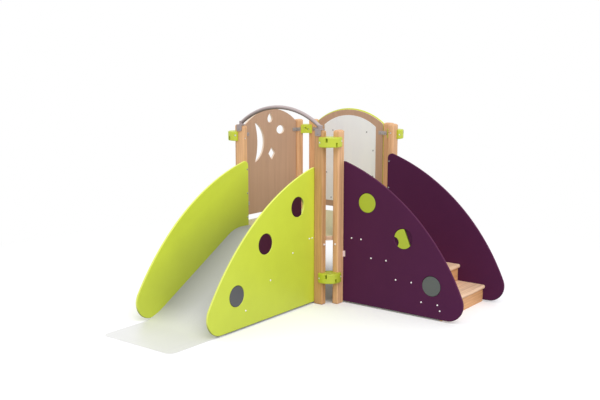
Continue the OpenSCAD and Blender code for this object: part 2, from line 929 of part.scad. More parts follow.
module slide_chute() {
    half = inner_w / 2;
    r = slide_end_r;
    color(steel)
        side(0)
            difference() {
                union() {
                    intersection() {
                        upright_plate(half, inner_w, slide_band(slide_sheet_t));
                        linear_extrude(deck_h + over)
                            polygon(rounded([[-half - over, -post_line, 0], [-half, -post_line - slide_l, r],
                                [half, -post_line - slide_l, r], [half + over, -post_line, 0]]));
                    }
                    both_ends()
                        intersection() {
                            upright_plate(half, slide_sheet_t, slide_band(slide_edge_d));
                            translate([0, -post_line - slide_edge_end, 0])
                                cube([far, slide_edge_end, far]);
                        }
                }
                both_ends()
                    for (p = slide_screws)
                        along_x(half - slide_sheet_t, -post_line - p[0], p[1])
                            screw_hole(slide_sheet_t);
            }
}

// Stairs

// Front of the riser under tread i, and the back of that tread
function step_front(i) = (step_count + 1 - i) * step_going;
function tread_back(i) = i == step_count ? seat_gap : step_front(i + 1) - riser_t;
function tread_length(i) = step_front(i) + step_nosing - tread_back(i);
function tread_screws(i) =
    [for (s = i == step_count ? landing_screw_shares : tread_screw_shares)
        [tread_back(i) + s * tread_length(i), i * step_rise - tread_t / 2]];

riser_screw = [step_front(1) - riser_t / 2, riser_screw_share * step_rise];
stair_screws = concat([riser_screw], [for (i = [1:step_count]) each tread_screws(i)]);

module tread(i) {
    back = tread_back(i);
    front = step_front(i) + step_nosing;
    z = i * step_rise;
    r = tread_edge_r;
    color(pine)
        side(1)
            difference() {
                upright_plate(inner_w / 2, inner_w,
                    rounded([[back, z - tread_t, 0], [front, z - tread_t, r], [front, z, r], [back, z, 0]]));
                stair_screw_holes(tread_screws(i));
            }
}

module riser(i) {
    front = step_front(i);
    z = (i - 1) * step_rise;
    color(pine)
        side(1)
            difference() {
                translate([-inner_w / 2, -post_line - front, z])
                    cube([inner_w, riser_t, step_rise - tread_t]);
                if (i == 1)
                    stair_screw_holes([riser_screw]);
            }
}

module stair_screw_holes(places) {
    both_ends()
        for (p = places)
            along_x(inner_w / 2 - screw_bite, -post_line - p[0], p[1])
                screw_hole(screw_bite);
}

module side_screws() {
    color(steel) {
        side(0)
            side_screw_pairs(slide_screws, panel_t + slide_sheet_t + screw_head_h);
        side(1)
            side_screw_pairs(stair_screws, panel_t + screw_bite);
    }
}

module side_screw_pairs(places, length) {
    both_ends()
        for (p = places)
            translate([post_in, -post_line - p[0], p[1]])
                rotate([0, -90, 0])
                    screw(length);
}

// Handrail

module handrail() {
    color("#9c8f98")
        side(0)
            difference() {
                union() {
                    translate([0, -post_line, rail_top_z - rail_d / 2 - rail_r])
                        rotate([90, 0, 0])
                            rotate([0, 0, 90 - rail_sweep / 2])
                                rotate_extrude(angle = rail_sweep, $fn = rail_n)
                                    translate([rail_r, 0])
                                        circle(d = rail_d, $fn = 64);
                    both_ends()
                        handrail_end();
                }
                both_ends()
                    along_y(half_span, rail_plate_y - rail_end_t, rail_bolt_z)
                        screw_hole(rail_end_t);
            }
}

// An end: an upright socket on a bent plate that lies on the post's top and turns down over its face
module handrail_end() {
    half = rail_end_w / 2;
    low = rail_bolt_z - rail_end_drop;
    top = rail_seat_z + rail_end_t;
    socket_r = rail_d / 2 + rail_socket_t;
    translate([half_span, -post_line, rail_seat_z])
        cylinder(h = rail_end_z + rail_d / 2 - rail_seat_z, r = socket_r);
    translate([half_span - half, rail_plate_y - rail_end_t, rail_seat_z])
        cube([rail_end_w, half_t + seat_gap + rail_end_t + socket_r + rail_socket_t, rail_end_t]);
    cross_plate(rail_plate_y, rail_end_t, rounded([
        [half_span - half, low, rail_end_r], [half_span + half, low, rail_end_r],
        [half_span + half, top, 0], [half_span - half, top, 0]]));
}

// Screws of the panels, clips, mirror sheet and handrail

module panel_screws() {
    color(steel) {
        panel_post_screws(0, slide_fix_z);
        panel_post_screws(1, stair_fix_z);
        side(0)
            both_ends()
                along_y(half_span, rail_plate_y - rail_end_t, rail_bolt_z)
                    screw(rail_end_t + screw_bite);
        for (k = [2, 3])
            side(k)
                both_ends()
                    for (z = clip_z) {
                        clip_post_screw_place(z)
                            screw(clip_t + clip_bite);
                        clip_panel_screw_place(z)
                            screw(clip_t + play_panel_t);
                    }
        side(2)
            mirror_screw_places()
                screw(mirror_t + mirror_panel_t - seat_gap);
    }
}

module panel_post_screws(k, heights) {
    side(k)
        both_ends()
            for (z = heights)
                along_x(post_in - panel_t, -post_line, z)
                    screw(panel_t + screw_bite);
}

post(0, 0, fix_z = slide_fix_z, rail = true);  // slide_post_near
post(3, 1, fix_z = slide_fix_z, rail = true);  // slide_post_far
post(0, 1, fix_z = stair_fix_z);  // stair_post_near
post(1, 0, fix_z = stair_fix_z);  // stair_post_far
post(1, 1, clips = true);  // mirror_post_right
post(2, 0, clips = true);  // mirror_post_left
post(2, 1, clips = true);  // moon_post_back
post(3, 0, clips = true);  // moon_post_front
outer_bracket(0, 0);  // outer_bracket_near_low
outer_bracket(1, 0);  // outer_bracket_right_low
outer_bracket(2, 0);  // outer_bracket_back_low
outer_bracket(3, 0);  // outer_bracket_left_low
outer_bracket(0, 1);  // outer_bracket_near_top
outer_bracket(1, 1);  // outer_bracket_right_top
outer_bracket(2, 1);  // outer_bracket_back_top
outer_bracket(3, 1);  // outer_bracket_left_top
inner_bracket(0, 0);  // inner_bracket_near_low
inner_bracket(1, 0);  // inner_bracket_right_low
inner_bracket(2, 0);  // inner_bracket_back_low
inner_bracket(3, 0);  // inner_bracket_left_low
inner_bracket(0, 1);  // inner_bracket_near_top
inner_bracket(1, 1);  // inner_bracket_right_top
inner_bracket(2, 1);  // inner_bracket_back_top
inner_bracket(3, 1);  // inner_bracket_left_top
slide_panel(0, 0, slide_disc_places);  // slide_panel_near
slide_panel(3, 1, []);  // slide_panel_far
stair_panel(0, 1, stair_disc_places);  // stair_panel_near
stair_panel(1, 0, []);  // stair_panel_far
color(purple) at_post(0, 0) disc(slide_disc_places[0]) slide_disc_cut();  // slide_disc_upper
color(purple) at_post(0, 0) disc(slide_disc_places[1]);  // slide_disc_middle
color("#62616a") at_post(0, 0) disc(slide_disc_places[2]);  // slide_disc_lower
color(lime) at_post(0, 1) disc(stair_disc_places[0]);  // stair_disc_upper
color(lime) at_post(0, 1) disc(stair_disc_places[1]) stair_disc_cut();  // stair_disc_middle
color("#5f6b62") at_post(0, 1) disc(stair_disc_places[2]);  // stair_disc_lower
moon_panel();
mirror_panel();
mirror_backing();
mirror_sheet();
deck_board();
bearer(0, panel_t);  // slide_bearer
bearer(1, panel_t);  // stair_bearer
bearer(2, 0);  // mirror_bearer
bearer(3, 0);  // moon_bearer
slide_chute();
tread(step_count);  // landing_board
tread(1);  // tread_1
tread(2);  // tread_2
tread(3);  // tread_3
riser(1);  // riser_1
riser(2);  // riser_2
riser(3);  // riser_3
riser(4);  // riser_4
handrail();
panel_clips();
panel_cleats();
corner_bolts();
corner_nuts();
bearer_bolts();
panel_screws();
side_screws();
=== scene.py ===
"""Looks, soft edges, floor, light and camera of a toddler climbing gym, around its CAD frame."""
import math
import bmesh
import bpy
from fnmatch import fnmatchcase
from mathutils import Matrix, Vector


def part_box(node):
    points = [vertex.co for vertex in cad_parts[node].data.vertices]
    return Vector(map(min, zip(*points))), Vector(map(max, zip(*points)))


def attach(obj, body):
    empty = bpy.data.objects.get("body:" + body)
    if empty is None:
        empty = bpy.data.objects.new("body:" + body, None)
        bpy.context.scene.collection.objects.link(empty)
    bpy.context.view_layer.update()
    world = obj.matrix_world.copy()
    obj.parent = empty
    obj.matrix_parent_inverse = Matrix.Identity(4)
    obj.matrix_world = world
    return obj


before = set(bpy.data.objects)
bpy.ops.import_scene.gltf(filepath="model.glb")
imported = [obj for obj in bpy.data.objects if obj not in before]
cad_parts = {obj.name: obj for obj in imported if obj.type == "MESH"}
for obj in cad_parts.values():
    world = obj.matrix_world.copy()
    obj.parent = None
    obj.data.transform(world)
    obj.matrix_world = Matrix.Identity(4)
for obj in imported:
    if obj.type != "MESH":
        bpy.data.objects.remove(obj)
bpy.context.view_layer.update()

# Axes of the row frame
X, Y, Z = range(3)

# The tower's middle on the ground, under its deck
deck_low, deck_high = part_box("deck_board")
TOWER = Vector(((deck_low[X] + deck_high[X]) / 2, (deck_low[Y] + deck_high[Y]) / 2, 0.0))
# Camera: its place from there in metres, its angles in degrees, its lens and sensor in millimetres, and
# how far it sees in metres
CAMERA_FROM_TOWER = Vector((4.710, -6.440, 2.090))
CAMERA_AZIMUTH = 37.3
CAMERA_PITCH = 9.2
CAMERA_LENS = 51.78
SENSOR_WIDTH = 36.0
CAMERA_REACH = 200.0

# Light: strengths of the world and the sun, the way to the sun, and its width in degrees
WORLD_LIGHT = 0.78
SUN_STRENGTH = 1.40
SUN_FROM = Vector((0.62, -0.42, 0.80))
SUN_SOFTNESS = 40.0
# The strength at which the world and the floor are seen as white
WHITE_STRENGTH = 1.0

# Floor: its width, and the distances from the origin between which it goes over to white, in metres
FLOOR_SIZE = 60.0
FLOOR_FADE = (2.4, 4.4)
# Light added to its tone where it is seen, so that only the deeper part of the shadow shows, and the
# distances from the tower's middle between which that sets in, in metres
FLOOR_LIFT = 0.12
FLOOR_LIFT_FROM = (0.55, 0.95)

# Soft edges: points that are closer than the gap, in metres, are one, faces that turn by less than the
# first angle, in degrees, are one flat face, and edges that turn by more than the second are rounded in
# a few steps
WELD_GAP = 0.0001
FLAT_ANGLE = 0.2
EDGE_ANGLE = 35.0
EDGE_STEPS = 3
# Edges shorter than this belong to screw and bolt holes, which stay as they are, in metres
SHORT_EDGE = 0.0022
# Widths of the soft edges in metres by node name, where the first pattern that fits counts; the nodes
# without a width are round already or keep their CAD edges
PANEL_EDGE = 0.006
CUT_DISC_EDGE = 0.0025
DISC_EDGE = 0.005
PLAY_PANEL_EDGE = 0.0018
TIMBER_EDGE = 0.003
SOFT_EDGES = (
    ("slide_panel_*", PANEL_EDGE),
    ("stair_panel_*", PANEL_EDGE),
    ("slide_disc_upper", CUT_DISC_EDGE),
    ("*_disc_*", DISC_EDGE),
    ("moon_panel", PLAY_PANEL_EDGE),
    ("mirror_panel", PLAY_PANEL_EDGE),
    ("mirror_backing", PLAY_PANEL_EDGE),
    ("tread_*", TIMBER_EDGE),
    ("riser_*", TIMBER_EDGE),
    ("landing_board", TIMBER_EDGE),
    ("*_bearer", TIMBER_EDGE),
    ("deck_board", TIMBER_EDGE),
    ("*", 0.0),
)

# Seat of the stairs' middle disc: its centre along the stairs and up, its radius, and the depths between
# which its floor lies, in metres
SEAT_CENTRE = (0.61114, 0.6373)
SEAT_R = 0.084
SEAT_FLOOR_DEPTHS = (0.456, 0.459)
# Points of a full circle in the floor's outlines
SEAT_POINTS = 180
# The disc's radius in metres, and its straight edge and its notch in shares of that radius
DISC_R = 0.0838
STRAIGHT_EDGE = ((0.14, 0.91), (0.82, -0.67))
NOTCH_CENTRE = (-1.02, -0.42)
NOTCH_R = 0.52

# The usual range of a noise, and the narrower ones of some marks
NOISE_RANGE = (0.3, 0.7)
LINE_RANGE = (0.36, 0.52)
FIBRE_RANGE = (0.3, 0.62)
SKIN_RANGE = (0.35, 0.65)
PRINT_RANGE = (0.32, 0.6)
PLY_RANGE = (0.35, 0.6)
# Bands of timber and of printed wood: places in a noise, and shares of the base colour there
TIMBER_BANDS = ((0.28, 0.78), (0.45, 0.97), (0.58, 1.07), (0.74, 0.88))
PRINT_BANDS = ((0.3, 0.93), (0.5, 1.0), (0.7, 1.05))
# How much of a material's marks or cloud is mixed into its colour
LINE_SHARE = 0.5
FIBRE_SHARE = 0.5
SKIN_SHARE = 0.12
PRINT_SHARE = 0.4
METAL_CLOUD_SHARE = 0.25
SHEET_CLOUD_SHARE = 0.5
# How squarely a board's surface faces its axis where the cut edge ends and where the face begins
EDGE_TO_FACE = (0.45, 0.97)
PLY_TO_FILM = (0.5, 0.8)
# Scales of brush marks per metre, along them and, on small parts, the slide and the mirror, across them
BRUSH_LENGTHWISE = 2.0
FINE_BRUSH = 300.0
SLIDE_BRUSH = 240.0
MIRROR_BRUSH = 9.0
# How many times more the roughness of metal changes with its marks than its colour does
ROUGHNESS_SWING = 2.0
# Gloss of plain laminate
LAMINATE_SHEEN = 0.5
# Scale and distortion of the layers in plywood
PLY_SCALE = 24.0
PLY_DISTORTION = 0.6


def srgb(r, g, b):
    """A display colour of 0 to 255 as a linear RGBA value."""
    def linear(v):
        v /= 255.0
        return v / 12.92 if v <= 0.04045 else ((v + 0.055) / 1.055) ** 2.4
    return (linear(r), linear(g), linear(b), 1.0)


def grey(value):
    """A linear grey."""
    return (value, value, value, 1.0)


def scaled(colour, share):
    """A colour made lighter or darker."""
    return tuple(min(part * share, 1.0) for part in colour[:3]) + (1.0,)


WHITE = grey(1.0)
PINE = srgb(232, 183, 137)
# Darker pine of the near slide post: partly its own tone, partly painted shade
PINE_DARK_AND_SHADED = srgb(208, 160, 112)
# Lighter pine of the treads and landing: partly its own tone, partly painted light
PINE_TREAD_LIT = srgb(250, 213, 180)
PINE_RISER = srgb(228, 174, 122)
LIME = srgb(217, 232, 71)
# Painted highlight on the lime boards' rounded edges
LIME_EDGE_HIGHLIGHT = srgb(236, 244, 112)
LIME_BRACKET = srgb(198, 210, 58)
LIME_DISC = srgb(178, 192, 56)
PURPLE = srgb(81, 33, 70)
# Painted highlight on the purple boards' rounded edges
PURPLE_EDGE_HIGHLIGHT = srgb(94, 45, 76)
PURPLE_DISC = srgb(68, 27, 46)
SLATE = srgb(84, 85, 90)
SAGE = srgb(88, 93, 92)
BROWN = srgb(195, 159, 133)
BROWN_EDGE = srgb(236, 214, 192)
# Painted reflection on the slide's sheet: grey on the slope, near white on the run-out
SLIDE_SLOPE_REFLECTION = srgb(199, 198, 206)
SLIDE_FLAT_REFLECTION = srgb(241, 241, 240)
# Painted reflection: a near-white, barely metallic mirror sheet, for the white surroundings it reflects
MIRROR_PAINTED_REFLECTION = srgb(247, 250, 255)
# Light steel of screws, bolts and nuts, made near-white as painted glint on their heads
SCREW = srgb(240, 236, 238)
PANEL_SCREW = srgb(150, 150, 154)
CLIP = srgb(178, 170, 170)
CLEAT = srgb(236, 216, 212)
RAIL = srgb(188, 173, 173)
DECK_FILM = srgb(202, 198, 160)
PLY_LIGHT = srgb(222, 188, 162)
PLY_DARK = srgb(176, 140, 112)

# Colours by which the lines, fibres and printed grain of wood darken or lighten it
LINE_DARK = (0.78, 0.70, 0.62, 1.0)
LINE_LIGHT = grey(1.04)
FIBRE_DARK = (0.80, 0.74, 0.68, 1.0)
PRINT_DARK = (0.88, 0.86, 0.84, 1.0)

# The floor's tone where it is seen, and the grey by which it lights the object
FLOOR_TONE = (0.955, 0.96, 0.985, 1.0)
FLOOR_BOUNCE = grey(0.70)

# Painted shade on the discs' rims: the share of their faces' colour that the rims have
RIM_SHADE = 0.35
# Heights between which the play panels go over to painted shade towards the deck, in metres, and that
# shade there
DECK_HEIGHTS = (0.60, 1.05)
DECK_SHADE = grey(0.78)
# The same painted shade for the lime boards and brackets towards the ground
GROUND_HEIGHTS = (0.0, 0.90)
GROUND_SHADE = (0.86, 0.85, 0.88, 1.0)
# Upward parts of the normal between which a board goes over to painted shade on its underside, and that
# shade
UNDER_FROM = (-0.05, -0.5)
UNDER_SHADE = grey(0.35)
# The same painted shade for the handrail's underside
RAIL_UNDER_FROM = (0.45, -0.55)
RAIL_UNDER_SHADE = (0.36, 0.34, 0.32, 1.0)
# Height in metres below which the slide's sheet goes lighter as painted reflection, and how late most of
# that change comes
SLIDE_TURN = 0.34
SLIDE_EASE = 5.0
# How far from the boards beside it the sheet has painted shade, where along it that begins, in metres,
# and that shade there
SHEET_SIDE_REACH = 0.32
SHEET_SIDE_FROM = (-1.0, -0.75)
SHEET_SIDE_SHADE = grey(0.62)
# The slide's slope, the height of its line at the upper end of the boards beside it, how far above the
# line these have painted shade, in metres, and that shade at the line
SLIDE_FALL = 0.587
SLIDE_START_Z = 0.707
SLIDE_SHADE_REACH = 0.46
SLIDE_SHADE = (0.58, 0.58, 0.60, 1.0)
# Heights between which that shade grows to its full strength, in metres, and its share at the lower one
SLIDE_FOOT_HEIGHTS = (0.0, 0.5)
SLIDE_FOOT_SHARE = 0.3


def new_node(tree, kind, operation=None):
    """A node of a tree, with its operation where it has one."""
    made = tree.nodes.new(kind)
    if operation:
        made.operation = operation
    return made


def feed(tree, node, sources):
    """Gives a node's inputs, by name or number, the sockets to link or the fixed values to hold."""
    for key, source in sources.items():
        socket = node.inputs[key]
        if isinstance(source, bpy.types.NodeSocket):
            tree.links.new(source, socket)
        else:
            socket.default_value = source


def calculated(tree, operation, *operands, kind="ShaderNodeMath"):
    """The number that a Math or Vector Math node works out from sockets and fixed values."""
    made = new_node(tree, kind, operation)
    feed(tree, made, dict(enumerate(operands)))
    return made.outputs["Value"]


def mixed_shaders(tree, factor, first, second):
    """Two shader nodes mixed by a factor."""
    made = new_node(tree, "ShaderNodeMixShader")
    feed(tree, made, {0: factor, 1: first.outputs[0], 2: second.outputs[0]})
    return made.outputs[0]


def white_where_seen(tree):
    """A factor of one for the camera, for reflections and for what is seen through, and else zero."""
    rays = new_node(tree, "ShaderNodeLightPath").outputs
    seen = calculated(tree, "MAXIMUM", rays["Is Camera Ray"], rays["Is Glossy Ray"])
    return calculated(tree, "MAXIMUM", seen, rays["Is Transmission Ray"])


class Material:
    """A principled material with short calls for its nodes.

    The values set the shader's inputs, by their names with underscores for spaces.
    """

    def __init__(self, name, **values):
        self.mat = bpy.data.materials.new(name)
        self.mat.use_nodes = True
        self.tree = self.mat.node_tree
        self.shader = self.tree.nodes["Principled BSDF"]
        self.coords = self.node("ShaderNodeTexCoord").outputs["Object"]
        self.feed(self.shader, {key.replace("_", " "): value for key, value in values.items()})

    def node(self, kind):
        """A new node of the material."""
        return new_node(self.tree, kind)

    def feed(self, node, sources):
        """Gives a node's inputs the sockets to link or the fixed values to hold."""
        feed(self.tree, node, sources)

    def calc(self, operation, *operands):
        """The number that a Math node works out."""
        return calculated(self.tree, operation, *operands)

    def vector_calc(self, operation, *operands):
        """The number that a Vector Math node works out."""
        return calculated(self.tree, operation, *operands, kind="ShaderNodeVectorMath")

    def noise(self, scale, detail=4.0, rough=0.55, distort=0.0):
        """Noise at a scale per metre, one for all axes or one for each."""
        mapping = self.node("ShaderNodeMapping")
        scales = scale if isinstance(scale, tuple) else (scale, scale, scale)
        self.feed(mapping, {"Vector": self.coords, "Scale": scales})
        made = self.node("ShaderNodeTexNoise")
        self.feed(made, {"Vector": mapping.outputs[0], "Scale": 1.0, "Detail": detail,
                         "Roughness": rough, "Distortion": distort})
        return made.outputs["Fac"]

    def ramp(self, factor, *stops):
        """A colour ramp of (place, colour) stops."""
        made = self.node("ShaderNodeValToRGB")
        elements = made.color_ramp.elements
        while len(elements) < len(stops):
            elements.new(0.5)
        for element, (place, colour) in zip(elements, stops):
            element.position = place
            element.color = colour
        self.feed(made, {"Fac": factor})
        return made.outputs["Color"]

    def banded(self, factor, base, stops):
        """A colour made darker and lighter by the (place, share) stops of a noise."""
        return self.ramp(factor, *[(place, scaled(base, share)) for place, share in stops])

    def tinted(self, factor, base, dark, light, limits=NOISE_RANGE):
        """A colour that goes from a darker to a lighter share of itself with a noise."""
        return self.banded(factor, base, zip(limits, (dark, light)))

    def span(self, value, limits, at_first, at_second):
        """A value mapped from one range to another, and held at its ends."""
        made = self.node("ShaderNodeMapRange")
        self.feed(made, dict(enumerate((value, *limits, at_first, at_second))))
        return made.outputs[0]

    def mix(self, factor, first, second, mode="MIX"):
        """Two colours mixed, through the sockets that a Mix node has for colours."""
        made = self.node("ShaderNodeMix")
        made.data_type = "RGBA"
        made.blend_type = mode
        self.feed(made, {0: factor, 6: first, 7: second})
        return made.outputs[2]

    def part(self, vector, axis):
        """The part of a vector along an axis."""
        split = self.node("ShaderNodeSeparateXYZ")
        self.feed(split, {0: vector})
        return split.outputs[axis]

    def place(self, axis):
        """The place along an axis of the row frame, in metres."""
        return self.part(self.coords, axis)

    def normal(self, axis):
        """The part of the surface's normal along an axis, from -1 to 1."""
        return self.part(self.node("ShaderNodeNewGeometry").outputs["Normal"], axis)

    def with_cut_edge(self, tone, cut, axis, limits=EDGE_TO_FACE):
        """The tone of a board's faces, which lie across an axis, and of its cut edge around them."""
        facing = self.calc("ABSOLUTE", self.normal(axis))
        return self.mix(self.span(facing, limits, 1.0, 0.0), tone, cut)

    def shaded(self, amount, tone, shade):
        """A tone that goes over to its product with a shade."""
        return self.mix(amount, tone, self.mix(1.0, tone, shade, "MULTIPLY"))

    def painted_shade_below(self, tone, heights, shade):
        """A tone that goes over to painted shade from the upper of two heights down to the lower."""
        return self.shaded(self.span(self.place(Z), heights, 1.0, 0.0), tone, shade)

    def painted_shade_under(self, tone, limits, shade):
        """A tone that goes over to painted shade as the surface turns downwards."""
        return self.shaded(self.span(self.normal(Z), limits, 0.0, 1.0), tone, shade)

    def painted_shade_by_slide(self, tone, inner_side):
        """A tone that goes over to painted shade, on a board's inner side, down to the slide's slope."""
        rise = self.vector_calc("DOT_PRODUCT", self.coords, (0.0, -SLIDE_FALL, 1.0))
        start = SLIDE_START_Z - SLIDE_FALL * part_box("slide_panel_far")[1][Y]
        low = self.span(rise, (start, start + SLIDE_SHADE_REACH), 1.0, 0.0)
        inside = self.span(self.normal(X), (0.0, inner_side), 0.0, 1.0)
        foot = self.span(self.place(Z), SLIDE_FOOT_HEIGHTS, SLIDE_FOOT_SHARE, 1.0)
        amount = self.calc("MULTIPLY", self.calc("MULTIPLY", low, foot), inside)
        return self.shaded(amount, tone, SLIDE_SHADE)

    def finished(self, tone, relief, rough, strength, depth):
        """The material with its colour, and with the roughness and the relief that follow a noise."""
        roughness = self.span(relief, NOISE_RANGE, *rough)
        bump = self.node("ShaderNodeBump")
        self.feed(bump, {"Strength": strength, "Distance": depth, "Height": relief})
        self.feed(self.shader, {"Base Color": tone, "Roughness": roughness, "Normal": bump.outputs[0]})
        return self.mat


def along(axis, lengthwise, crosswise):
    """Noise scales that stretch a grain along one axis."""
    scales = [crosswise] * 3
    scales[axis] = lengthwise
    return tuple(scales)


def timber(name, base, axis):
    """Planed wood with growth bands, lines and fine fibres along one axis."""
    m = Material(name)
    bands = m.noise(along(axis, lengthwise=1.1, crosswise=26.0), detail=3.0, rough=0.5, distort=1.4)
    lines = m.noise(along(axis, lengthwise=2.2, crosswise=95.0), detail=2.0, rough=0.5, distort=0.8)
    fibres = m.noise(along(axis, lengthwise=7.0, crosswise=330.0), detail=5.0, rough=0.65)
    line_tone = m.ramp(lines, *zip(LINE_RANGE, (LINE_DARK, LINE_LIGHT)))
    fibre_tone = m.ramp(fibres, *zip(FIBRE_RANGE, (FIBRE_DARK, WHITE)))
    tone = m.mix(LINE_SHARE, m.banded(bands, base, TIMBER_BANDS), line_tone, "MULTIPLY")
    tone = m.mix(FIBRE_SHARE, tone, fibre_tone, "MULTIPLY")
    return m.finished(tone, fibres, rough=(0.62, 0.46), strength=0.22, depth=0.0006)


def laminate(name, base, rough=(0.46, 0.34), sheen=LAMINATE_SHEEN, edge=None, axis=X,
             ground_shade=False, slide_side=None):
    """Compact laminate: an even colour with a slight cloud, a fine grained skin and small sheen changes.

    The cut edge of a board that lies across an axis can have a colour of its own, a painted highlight or
    painted shade, and its underside then has painted shade. The board can also have painted shade towards
    the ground, and on its side towards the slide.
    """
    m = Material(name, Specular_IOR_Level=sheen)
    cloud = m.noise(scale=3.0, detail=3.0)
    skin = m.noise(scale=520.0, detail=3.0)
    tone = m.tinted(cloud, base, dark=0.955, light=1.04)
    grained = m.tinted(skin, base, dark=0.8, light=1.15, limits=SKIN_RANGE)
    tone = m.mix(SKIN_SHARE, tone, grained)
    # The edge tone is painted highlight on lime and purple boards and painted shade on disc rims
    if edge:
        cut = m.tinted(skin, edge, dark=0.94, light=1.04, limits=SKIN_RANGE)
        tone = m.with_cut_edge(tone, cut, axis)
        tone = m.painted_shade_under(tone, UNDER_FROM, UNDER_SHADE)
    if ground_shade:
        tone = m.painted_shade_below(tone, GROUND_HEIGHTS, GROUND_SHADE)
    if slide_side:
        tone = m.painted_shade_by_slide(tone, slide_side)
    return m.finished(tone, skin, rough, strength=0.06, depth=0.0004)


def disc_laminate(name, base, axis, sheen=LAMINATE_SHEEN):
    """The laminate of a disc that lies across an axis, with painted shade on its rim."""
    return laminate(name, base, sheen=sheen, edge=scaled(base, RIM_SHADE), axis=axis)


def wood_print(name, base, edge, axis):
    """Brown laminate with a printed upright wood grain, with a little painted shade towards the deck.

    The board lies across an axis, and its cut edge has a colour of its own.
    """
    m = Material(name)
    bands = m.noise(along(Z, lengthwise=0.9, crosswise=30.0), distort=0.9)
    fine = m.noise(along(Z, lengthwise=5.0, crosswise=240.0), rough=0.6)
    fine_tone = m.ramp(fine, *zip(PRINT_RANGE, (PRINT_DARK, WHITE)))
    tone = m.mix(PRINT_SHARE, m.banded(bands, base, PRINT_BANDS), fine_tone, "MULTIPLY")
    cut = m.tinted(fine, edge, dark=0.94, light=1.0, limits=PRINT_RANGE)
    tone = m.painted_shade_below(m.with_cut_edge(tone, cut, axis), DECK_HEIGHTS, DECK_SHADE)
    return m.finished(tone, fine, rough=(0.52, 0.42), strength=0.12, depth=0.0004)


def brushed(m, axis, brush):
    """The noises of brush marks along one axis and of a slow cloud."""
    marks = m.noise(along(axis, BRUSH_LENGTHWISE, brush), rough=0.6)
    cloud = m.noise(scale=2.2, detail=2.0)
    return marks, cloud


def metal(name, base, rough, metallic, brush=FINE_BRUSH, contrast=0.08, deck_shade=False):
    """Sheet or turned metal with upright brush marks, which can have painted shade towards the deck."""
    m = Material(name, Metallic=metallic)
    marks, cloud = brushed(m, Z, brush)
    dark, light = 1.0 - contrast, 1.0 + contrast
    clouded = m.tinted(cloud, base, dark, light)
    tone = m.mix(METAL_CLOUD_SHARE, m.tinted(marks, base, dark, light), clouded)
    if deck_shade:
        tone = m.painted_shade_below(tone, DECK_HEIGHTS, DECK_SHADE)
    swing = ROUGHNESS_SWING * contrast
    rough_range = (rough * (1.0 + swing), rough * (1.0 - swing))
    return m.finished(tone, marks, rough_range, strength=0.05, depth=0.0003)


def slide_sheet(name, slope, flat):
    """Brushed slide sheet: painted reflection, grey on its slope and lighter near the ground, and painted
    shade beside the boards.
    """
    m = Material(name, Metallic=0.15)
    marks, cloud = brushed(m, Y, SLIDE_BRUSH)
    near_ground = m.span(m.place(Z), (SLIDE_TURN, 0.0), 0.0, 1.0)
    tone = m.mix(m.calc("POWER", near_ground, SLIDE_EASE), slope, flat)
    low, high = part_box("slide_chute")
    by_far_board = m.span(m.place(X), (low[X], low[X] + SHEET_SIDE_REACH), 1.0, 0.0)
    by_near_board = m.span(m.place(X), (high[X] - SHEET_SIDE_REACH, high[X]), 0.0, 1.0)
    between_boards = m.span(m.place(Y), SHEET_SIDE_FROM, 0.0, 1.0)
    beside = m.calc("MULTIPLY", m.calc("MAXIMUM", by_far_board, by_near_board), between_boards)
    tone = m.shaded(beside, tone, SHEET_SIDE_SHADE)
    clouded = m.tinted(cloud, WHITE, dark=0.94, light=1.0)
    wear = m.mix(SHEET_CLOUD_SHARE, m.tinted(marks, WHITE, dark=0.93, light=1.0), clouded)
    tone = m.mix(1.0, tone, wear, "MULTIPLY")
    return m.finished(tone, marks, rough=(0.54, 0.4), strength=0.05, depth=0.0003)


def coated_tube(name, base):
    """Powder-coated tube with a fine orange-peel skin and painted shade on its underside."""
    m = Material(name)
    peel = m.noise(scale=420.0, detail=2.0)
    cloud = m.noise(scale=9.0, detail=3.0)
    tone = m.tinted(cloud, base, dark=0.95, light=1.05)
    tone = m.painted_shade_under(tone, RAIL_UNDER_FROM, RAIL_UNDER_SHADE)
    return m.finished(tone, peel, rough=(0.42, 0.3), strength=0.1, depth=0.0005)


def plywood(name, face, ply_light, ply_dark):
    """Film-faced board: a grained film on its flat faces and its layers on the edges."""
    m = Material(name)
    film = m.noise(scale=60.0, detail=5.0, rough=0.6)
    wave = m.node("ShaderNodeTexWave")
    wave.bands_direction = "Z"
    m.feed(wave, {"Vector": m.coords, "Scale": PLY_SCALE, "Distortion": PLY_DISTORTION})
    layers = m.ramp(wave.outputs["Fac"], *zip(PLY_RANGE, (ply_dark, ply_light)))
    tone = m.with_cut_edge(m.tinted(film, face, dark=0.88, light=1.1), layers, Z, PLY_TO_FILM)
    return m.finished(tone, film, rough=(0.62, 0.5), strength=0.15, depth=0.0006)


post_wood = timber("post_timber", PINE, Z)
# The near slide post's pine: partly its own darker tone, partly painted shade
near_post_dark_and_shaded_wood = timber("near_post_dark_and_shaded_timber", PINE_DARK_AND_SHADED, Z)
bearer_wood_x = timber("bearer_timber_x", PINE, X)
bearer_wood_y = timber("bearer_timber_y", PINE, Y)
